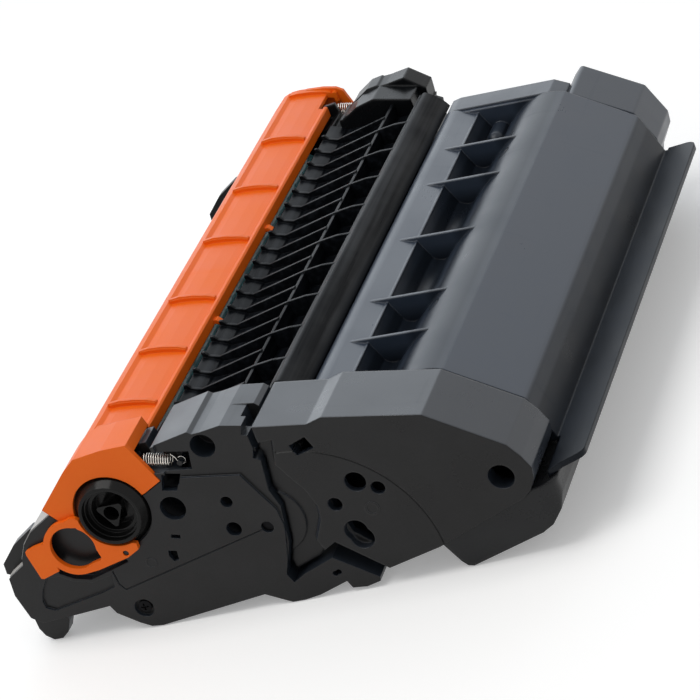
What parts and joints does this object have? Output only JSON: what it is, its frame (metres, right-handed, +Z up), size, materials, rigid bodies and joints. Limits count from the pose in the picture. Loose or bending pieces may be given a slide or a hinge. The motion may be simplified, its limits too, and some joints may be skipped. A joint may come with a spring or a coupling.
{
  "type": "toner cartridge",
  "caption": "All-in-one toner cartridge with a ribbed paper guide, gusseted hopper, grip flange, drum under an orange cover and a pull ring.",
  "frame": {"origin": "middle of the footprint, on the table", "axes": "+X from the drum side to the hopper side, +Y from the coupling end to the far end, +Z up"},
  "size_m": [0.249, 0.3264, 0.0829],
  "materials": {
    "black_plastic": "satin moulded plastic",
    "grey_plastic": "satin moulded plastic",
    "orange_plastic": "semi-gloss moulded plastic",
    "white_plastic": "natural bearing plastic",
    "steel": "plated steel",
    "drum_coat": "coated drum",
    "dark_rubber": "conductive rubber",
    "blade_rubber": "polyurethane blade",
    "film": "bare film",
    "sheet": "clear flexible sheet"
  },
  "bodies": {
    "hopper_unit": {"hopper_shell": "grey_plastic", "hopper_base": "black_plastic", "hopper_cap_near": "black_plastic", "hopper_cap_far": "grey_plastic", "fill_plug": "white_plastic", "doctor_bracket": "steel", "doctor_blade": "blade_rubber", "developer_bush_near": "white_plastic", "developer_bush_far": "white_plastic"},
    "agitator_set": {"agitator_shaft": "black_plastic", "agitator_sheet": "sheet"},
    "developer_set": {"developer_sleeve": "dark_rubber", "developer_shaft": "steel"},
    "drum_unit": {"side_plate_near": "black_plastic", "side_plate_far": "black_plastic", "drum_pin": "steel", "drum_collar": "black_plastic", "pivot_pin_near": "steel", "pivot_pin_far": "steel", "waste_bin": "black_plastic", "blade_bracket": "steel", "cleaning_blade": "blade_rubber", "guide_rail": "black_plastic", "charge_holder_near": "white_plastic", "charge_holder_far": "white_plastic", "pull_ring": "orange_plastic", "front_film": "film", "spring_near": "steel", "spring_far": "steel", "side_screws": "steel"},
    "drum_set": {"opc_drum": "drum_coat", "drum_coupling": "black_plastic", "drum_flange_far": "black_plastic"},
    "charge_set": {"charge_roller": "dark_rubber", "charge_shaft": "steel"},
    "cover_set": {"drum_cover": "orange_plastic"}
  },
  "joints": [
    {"name": "halves_pivot", "type": "hinge", "parent": "hopper_unit", "child": "drum_unit", "pos_m": [-0.0037, 0, 0.0354], "axis": [0, -1, 0], "range_deg": [0, 1], "stiffness_Nm_per_rad": 2, "springref_deg": -11.46},
    {"name": "drum_spin", "type": "hinge", "parent": "drum_unit", "child": "drum_set", "pos_m": [-0.0645, 0, 0.0551], "axis": [0, 1, 0], "continuous": true},
    {"name": "charge_spin", "type": "hinge", "parent": "drum_unit", "child": "charge_set", "pos_m": [-0.07665, 0, 0.03767], "axis": [0, 1, 0], "continuous": true},
    {"name": "developer_spin", "type": "hinge", "parent": "hopper_unit", "child": "developer_set", "pos_m": [-0.03975, 0, 0.0573], "axis": [0, 1, 0], "continuous": true},
    {"name": "agitator_spin", "type": "hinge", "parent": "hopper_unit", "child": "agitator_set", "pos_m": [0.078, 0, 0.036], "axis": [0, 1, 0], "continuous": true},
    {"name": "cover_lift", "type": "slide", "parent": "drum_unit", "child": "cover_set", "axis": [-0.177, 0, 0.9842], "range_m": [0, 0.04]}
  ],
  "couplings": [
    {"joint": "charge_spin", "follows": "drum_spin", "ratio": -2.5424},
    {"joint": "developer_spin", "follows": "drum_spin", "ratio": -1.6},
    {"joint": "agitator_spin", "follows": "drum_spin", "ratio": 0.25}
  ]
}
